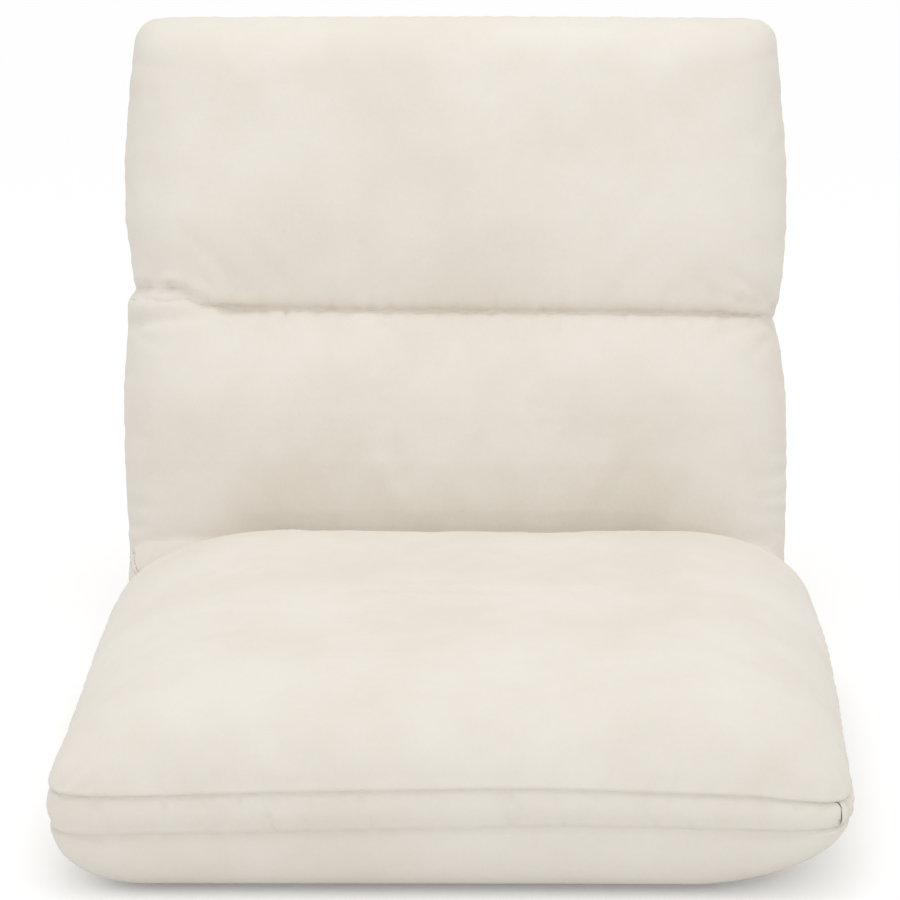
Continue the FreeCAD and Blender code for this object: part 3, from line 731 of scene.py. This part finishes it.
# %% [markdown]
# ## Webbing across the frames
#
# Flat webbing is stretched between the rails of both frames and carries the foam. Each strap goes round a
# rail and is sewn back onto itself, so its section is one long path: from the sewn tail, round the left
# rail, across, round the right rail and back to the other tail.

# %% Straps
RAIL = 225.0
EYE = 10.35
STRAP_HALF = 25.0
WEB_HALF = 0.75
SEAT_STRAPS_AT = np.linspace(86.25, -140.0, 4)
BACK_STRAPS_AT = np.linspace(188.75, 357.0, 3)
TAIL = 36.0
EYE_FROM, EYE_TO, EYE_STEPS = 62.0, 340.0, 40
STRAP_STEPS = 24


def strap_path():
    """The path of a strap in x and r, with the direction across its thickness."""
    round_left = np.linspace(math.radians(EYE_FROM), math.radians(EYE_TO), EYE_STEPS)
    left = np.stack([-RAIL + EYE * np.cos(round_left), EYE * np.sin(round_left)], -1)
    start = np.array([[-RAIL + EYE + TAIL, 2.0], [-RAIL + EYE + 12.0, 2.2]])
    half = np.concatenate([start, left, [[-RAIL + EYE + 10.0, 0.0]]])
    across = np.linspace(-RAIL + 30.0, RAIL - 30.0, STRAP_STEPS)
    middle = np.stack([across, 0.0 * across], -1)
    other = half[::-1] * np.array([-1.0, 1.0])
    path = np.concatenate([half, middle, other])
    ahead = np.gradient(path, axis=0)
    side = np.stack([-ahead[:, 1], ahead[:, 0]], -1)
    return path, side / np.linalg.norm(side, axis=1, keepdims=True)


def strap_box(place):
    """Points of one strap in x, q, r, and its faces, as a closed bar that follows the path."""
    path, side = strap_path()
    corners = []
    for along, thick in ((-1, -1), (1, -1), (1, 1), (-1, 1)):
        x, r = (path + side * WEB_HALF * thick).T
        corners.append(np.stack([x, np.full(len(x), place + STRAP_HALF * along), r], -1))
    points = np.stack(corners, axis=1).reshape(-1, 3)
    grid = np.arange(len(points)).reshape(-1, 4)
    ahead = np.roll(grid, -1, axis=1)
    faces = np.stack([grid[:-1], ahead[:-1], ahead[1:], grid[1:]], -1).reshape(-1, 4).tolist()
    return points, faces + [grid[0].tolist(), grid[-1][::-1].tolist()]


def straps(name, places, set_down):
    points, faces = [], []
    for place in places:
        more, sides = strap_box(place)
        shift = sum(len(group) for group in points)
        faces += [[corner + shift for corner in face] for face in sides]
        points.append(more)
    return new_mesh(name, set_down(np.concatenate(points)), faces)


def on_seat(points):
    return points + np.array([0.0, 0.0, HINGE_Z])


seat_webbing = straps("seat_webbing", SEAT_STRAPS_AT, on_seat)
back_webbing = straps("back_webbing", BACK_STRAPS_AT, leaned)
print("webbing points:", len(seat_webbing.data.vertices), len(back_webbing.data.vertices))

# %% [markdown]
# ## Cream suede cloth
#
# Brushed polyester suede is nearly matt, with a short nap that catches light at grazing angles and shows
# faint darker strokes where a hand has passed. Noise at three sizes makes it: strokes in the colour, a
# soft unevenness, and the nap itself as a fine bump.

# %% Cloth material
CREAM = (0.815, 0.775, 0.705, 1.0)
CREAM_STROKE = (0.775, 0.725, 0.645, 1.0)


def add_node(tree, kind, place, **values):
    node = tree.nodes.new(kind)
    node.location = place
    for name, value in values.items():
        node.inputs[name].default_value = value
    return node


def new_material(name):
    material = bpy.data.materials.new(name)
    material.use_nodes = True
    return material, material.node_tree, material.node_tree.nodes["Principled BSDF"]


def suede(name, light, stroke, nap):
    """Nearly matt cloth with strokes in its nap; nap is the strength of the finest bump."""
    material, tree, shader = new_material(name)
    shader.inputs["Roughness"].default_value = 0.88
    shader.inputs["Sheen Weight"].default_value = 0.22
    shader.inputs["Sheen Roughness"].default_value = 0.45
    shader.inputs["Sheen Tint"].default_value = (1.0, 0.97, 0.92, 1.0)
    shader.inputs["Specular IOR Level"].default_value = 0.18
    place = tree.nodes.new("ShaderNodeTexCoord")
    strokes = add_node(tree, "ShaderNodeTexNoise", (-700, 200), Scale=9.0, Detail=5.0, Roughness=0.6)
    mottle = add_node(tree, "ShaderNodeTexNoise", (-700, -50), Scale=260.0, Detail=3.0)
    fibre = add_node(tree, "ShaderNodeTexNoise", (-700, -300), Scale=1500.0, Detail=2.0)
    for texture in (strokes, mottle, fibre):
        tree.links.new(place.outputs["Object"], texture.inputs["Vector"])
    ramp = tree.nodes.new("ShaderNodeValToRGB")
    ramp.color_ramp.elements[0].position = 0.36
    ramp.color_ramp.elements[0].color = stroke
    ramp.color_ramp.elements[1].position = 0.62
    ramp.color_ramp.elements[1].color = light
    tree.links.new(strokes.outputs["Fac"], ramp.inputs["Fac"])
    speckle = tree.nodes.new("ShaderNodeMix")
    speckle.data_type = "RGBA"
    speckle.blend_type = "SOFT_LIGHT"
    speckle.inputs["Factor"].default_value = 0.10
    tree.links.new(ramp.outputs["Color"], speckle.inputs["A"])
    tree.links.new(mottle.outputs["Color"], speckle.inputs["B"])
    tree.links.new(speckle.outputs["Result"], shader.inputs["Base Color"])
    coarse = add_node(tree, "ShaderNodeBump", (-200, -200), Strength=0.25, Distance=0.0006)
    fine = add_node(tree, "ShaderNodeBump", (0, -200), Strength=nap, Distance=0.0003)
    tree.links.new(mottle.outputs["Fac"], coarse.inputs["Height"])
    tree.links.new(fibre.outputs["Fac"], fine.inputs["Height"])
    tree.links.new(coarse.outputs["Normal"], fine.inputs["Normal"])
    tree.links.new(fine.outputs["Normal"], shader.inputs["Normal"])
    return material


def webbing_material():
    """Black woven strap: a slightly uneven wave makes its ribs."""
    material, tree, shader = new_material("black webbing")
    shader.inputs["Base Color"].default_value = (0.035, 0.035, 0.037, 1.0)
    shader.inputs["Roughness"].default_value = 0.8
    shader.inputs["Sheen Weight"].default_value = 0.15
    place = tree.nodes.new("ShaderNodeTexCoord")
    ribs = add_node(tree, "ShaderNodeTexWave", (-600, 0), Scale=180.0, Distortion=0.4)
    bump = add_node(tree, "ShaderNodeBump", (-200, 0), Strength=0.6, Distance=0.0004)
    tree.links.new(place.outputs["Object"], ribs.inputs["Vector"])
    tree.links.new(ribs.outputs["Fac"], bump.inputs["Height"])
    tree.links.new(bump.outputs["Normal"], shader.inputs["Normal"])
    return material


def metal(name, colour, metallic, roughness, grain):
    """Steel with a finish: a little colour drift, worn roughness and a fine grain."""
    material, tree, shader = new_material(name)
    shader.inputs["Metallic"].default_value = metallic
    place = tree.nodes.new("ShaderNodeTexCoord")
    drift = add_node(tree, "ShaderNodeTexNoise", (-700, 100), Scale=45.0, Detail=4.0)
    speck = add_node(tree, "ShaderNodeTexNoise", (-700, -200), Scale=grain, Detail=2.0)
    ramp = tree.nodes.new("ShaderNodeValToRGB")
    ramp.color_ramp.elements[0].color = tuple(0.82 * part for part in colour) + (1.0,)
    ramp.color_ramp.elements[1].color = tuple(colour) + (1.0,)
    worn = add_node(tree, "ShaderNodeMapRange", (-400, -50))
    worn.inputs["To Min"].default_value = roughness - 0.06
    worn.inputs["To Max"].default_value = roughness + 0.08
    bump = add_node(tree, "ShaderNodeBump", (-200, -200), Strength=0.25, Distance=0.0002)
    for texture in (drift, speck):
        tree.links.new(place.outputs["Object"], texture.inputs["Vector"])
    tree.links.new(drift.outputs["Fac"], ramp.inputs["Fac"])
    tree.links.new(ramp.outputs["Color"], shader.inputs["Base Color"])
    tree.links.new(drift.outputs["Fac"], worn.inputs["Value"])
    tree.links.new(worn.outputs["Result"], shader.inputs["Roughness"])
    tree.links.new(speck.outputs["Fac"], bump.inputs["Height"])
    tree.links.new(bump.outputs["Normal"], shader.inputs["Normal"])
    return material


cloth = suede("cream suede", CREAM, CREAM_STROKE, 0.3)
for piece in (seat_cushion, back_cushion, roll):
    piece.data.materials.append(cloth)
strap_cloth = webbing_material()
for piece in (seat_webbing, back_webbing):
    piece.data.materials.append(strap_cloth)
print("cloths:", cloth.name, "and", strap_cloth.name)

# %% [markdown]
# ## Finishes of the steel
#
# The tubes are black powder coat, which is slightly pebbled. Stamped plates are zinc plated, pins and
# rivets are turned steel, and the pawl springs are blued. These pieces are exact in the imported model, so
# they keep their shapes and only get their finish here.

# %% Finish each packed steel piece
FINISHES = {
    "frame_tube": metal("black powder coat", (0.022, 0.022, 0.024), 0.0, 0.48, 900.0),
    "cross_tube": metal("black powder coat, cross", (0.025, 0.025, 0.027), 0.0, 0.5, 900.0),
    "cheek": metal("zinc plate", (0.62, 0.63, 0.64), 1.0, 0.38, 500.0),
    "tongue": metal("zinc plate, tongue", (0.58, 0.59, 0.61), 1.0, 0.4, 500.0),
    "ratchet": metal("toothed steel", (0.50, 0.51, 0.53), 1.0, 0.33, 700.0),
    "pawl": metal("pawl steel", (0.46, 0.47, 0.49), 1.0, 0.35, 700.0),
    "spring": metal("blued spring steel", (0.12, 0.14, 0.2), 1.0, 0.3, 900.0),
    "pin": metal("turned steel", (0.66, 0.66, 0.67), 1.0, 0.28, 1200.0),
    "rivets": metal("rivet steel", (0.60, 0.60, 0.61), 1.0, 0.32, 1200.0),
}


def finish_of(name):
    words = [word for word in FINISHES if word in name]
    return FINISHES[words[-1]] if words else None


for name in nodes:
    piece = bpy.data.objects.get(name)
    finish = finish_of(name)
    if piece is not None and finish is not None:
        piece.data.materials.clear()
        piece.data.materials.append(finish)
print("steel pieces:", sum(finish_of(name) is not None for name in nodes))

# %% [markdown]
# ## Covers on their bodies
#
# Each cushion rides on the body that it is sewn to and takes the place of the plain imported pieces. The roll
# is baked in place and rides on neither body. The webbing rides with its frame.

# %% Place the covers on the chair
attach(seat_cushion, "seat")
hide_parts("seat_cover_top", "seat_cover_band", "seat_cover_base", "seat_foam_upper",
            "seat_foam_lower")
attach(back_cushion, "back")
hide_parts("back_cover_front", "back_cover_band", "back_cover_rear", "back_foam_lower",
            "back_foam_upper", "back_foam_rear", "channel_tie")
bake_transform(roll)
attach(seat_webbing, "seat")
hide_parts("seat_straps")
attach(back_webbing, "back")
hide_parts("back_straps")
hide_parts("hinge_cover")
covers = (seat_cushion, back_cushion, roll, seat_webbing, back_webbing)
print("covers placed:", [piece.name for piece in covers])

# %% [markdown]
# ## Floor and light
#
# A pale studio: a floor that reads as white, a soft light over the chair, a larger one in front and an
# even, bright surround, so that the cushions are shaped by shades of a few parts in a hundred.

# %% Floor, surround and the two lights
FLOOR_HALF = 30.0
FLOOR_DROP = 0.0008
FLOOR_SEEN = (0.93, 0.93, 0.93, 1.0)
FLOOR_BOUNCE = (0.85, 0.85, 0.85, 1.0)
FLOOR_LIFT = 0.16
WHITE = (1.0, 1.0, 1.0, 1.0)
SURROUND_LIGHT = 0.89

def floor_material():
    """The camera sees a floor lifted to white, while the chair gets only the light that it throws back."""
    material, tree, shader = new_material("studio floor")
    tree.nodes.remove(shader)
    out = tree.nodes["Material Output"]
    seen = tree.nodes.new("ShaderNodeBsdfDiffuse")
    seen.inputs["Color"].default_value = FLOOR_SEEN
    bounce = tree.nodes.new("ShaderNodeBsdfDiffuse")
    bounce.inputs["Color"].default_value = FLOOR_BOUNCE
    lift = tree.nodes.new("ShaderNodeEmission")
    lift.inputs["Strength"].default_value = FLOOR_LIFT
    both = tree.nodes.new("ShaderNodeAddShader")
    path = tree.nodes.new("ShaderNodeLightPath")
    pick = tree.nodes.new("ShaderNodeMixShader")
    tree.links.new(seen.outputs[0], both.inputs[0])
    tree.links.new(lift.outputs[0], both.inputs[1])
    tree.links.new(path.outputs["Is Camera Ray"], pick.inputs[0])
    tree.links.new(bounce.outputs[0], pick.inputs[1])
    tree.links.new(both.outputs[0], pick.inputs[2])
    tree.links.new(pick.outputs[0], out.inputs["Surface"])
    return material


def studio_floor():
    far = FLOOR_HALF
    corners = [(-far, -far, 0.0), (far, -far, 0.0), (far, far, 0.0), (-far, far, 0.0)]
    mesh = bpy.data.meshes.new("studio_floor")
    mesh.from_pydata(corners, [], [(0, 1, 2, 3)])
    piece = bpy.data.objects.new("studio_floor", mesh)
    bpy.context.scene.collection.objects.link(piece)
    piece.data.materials.append(floor_material())
    piece.location.z = -FLOOR_DROP


def soft_box(name, watts, side, place, tilt):
    """A square soft light; with no tilt it shines straight down, and with more it turns to the back."""
    light = bpy.data.objects.new(name, bpy.data.lights.new(name, "AREA"))
    light.data.energy = watts
    light.data.size = side
    light.location = place
    light.rotation_euler = (math.radians(tilt), 0.0, 0.0)
    bpy.context.scene.collection.objects.link(light)


def surround(strength):
    """White to the camera, and light of the given strength on the chair."""
    world = bpy.data.worlds.new("studio")
    bpy.context.scene.world = world
    world.use_nodes = True
    tree = world.node_tree
    around = tree.nodes["Background"]
    seen = tree.nodes.new("ShaderNodeBackground")
    seen.inputs["Strength"].default_value = 1.0
    seen.inputs["Color"].default_value = WHITE
    around.inputs["Color"].default_value = WHITE
    around.inputs["Strength"].default_value = strength
    path = tree.nodes.new("ShaderNodeLightPath")
    pick = tree.nodes.new("ShaderNodeMixShader")
    tree.links.new(path.outputs["Is Camera Ray"], pick.inputs[0])
    tree.links.new(around.outputs[0], pick.inputs[1])
    tree.links.new(seen.outputs[0], pick.inputs[2])
    tree.links.new(pick.outputs[0], tree.nodes["World Output"].inputs["Surface"])


studio_floor()
soft_box("overhead light", 2.3, 1.0, (0.0, -0.1, 1.25), 0.0)
soft_box("front light", 4.5, 1.6, (0.0, -2.6, 1.3), 70.0)
surround(SURROUND_LIGHT)
bpy.context.scene.view_settings.view_transform = "Standard"
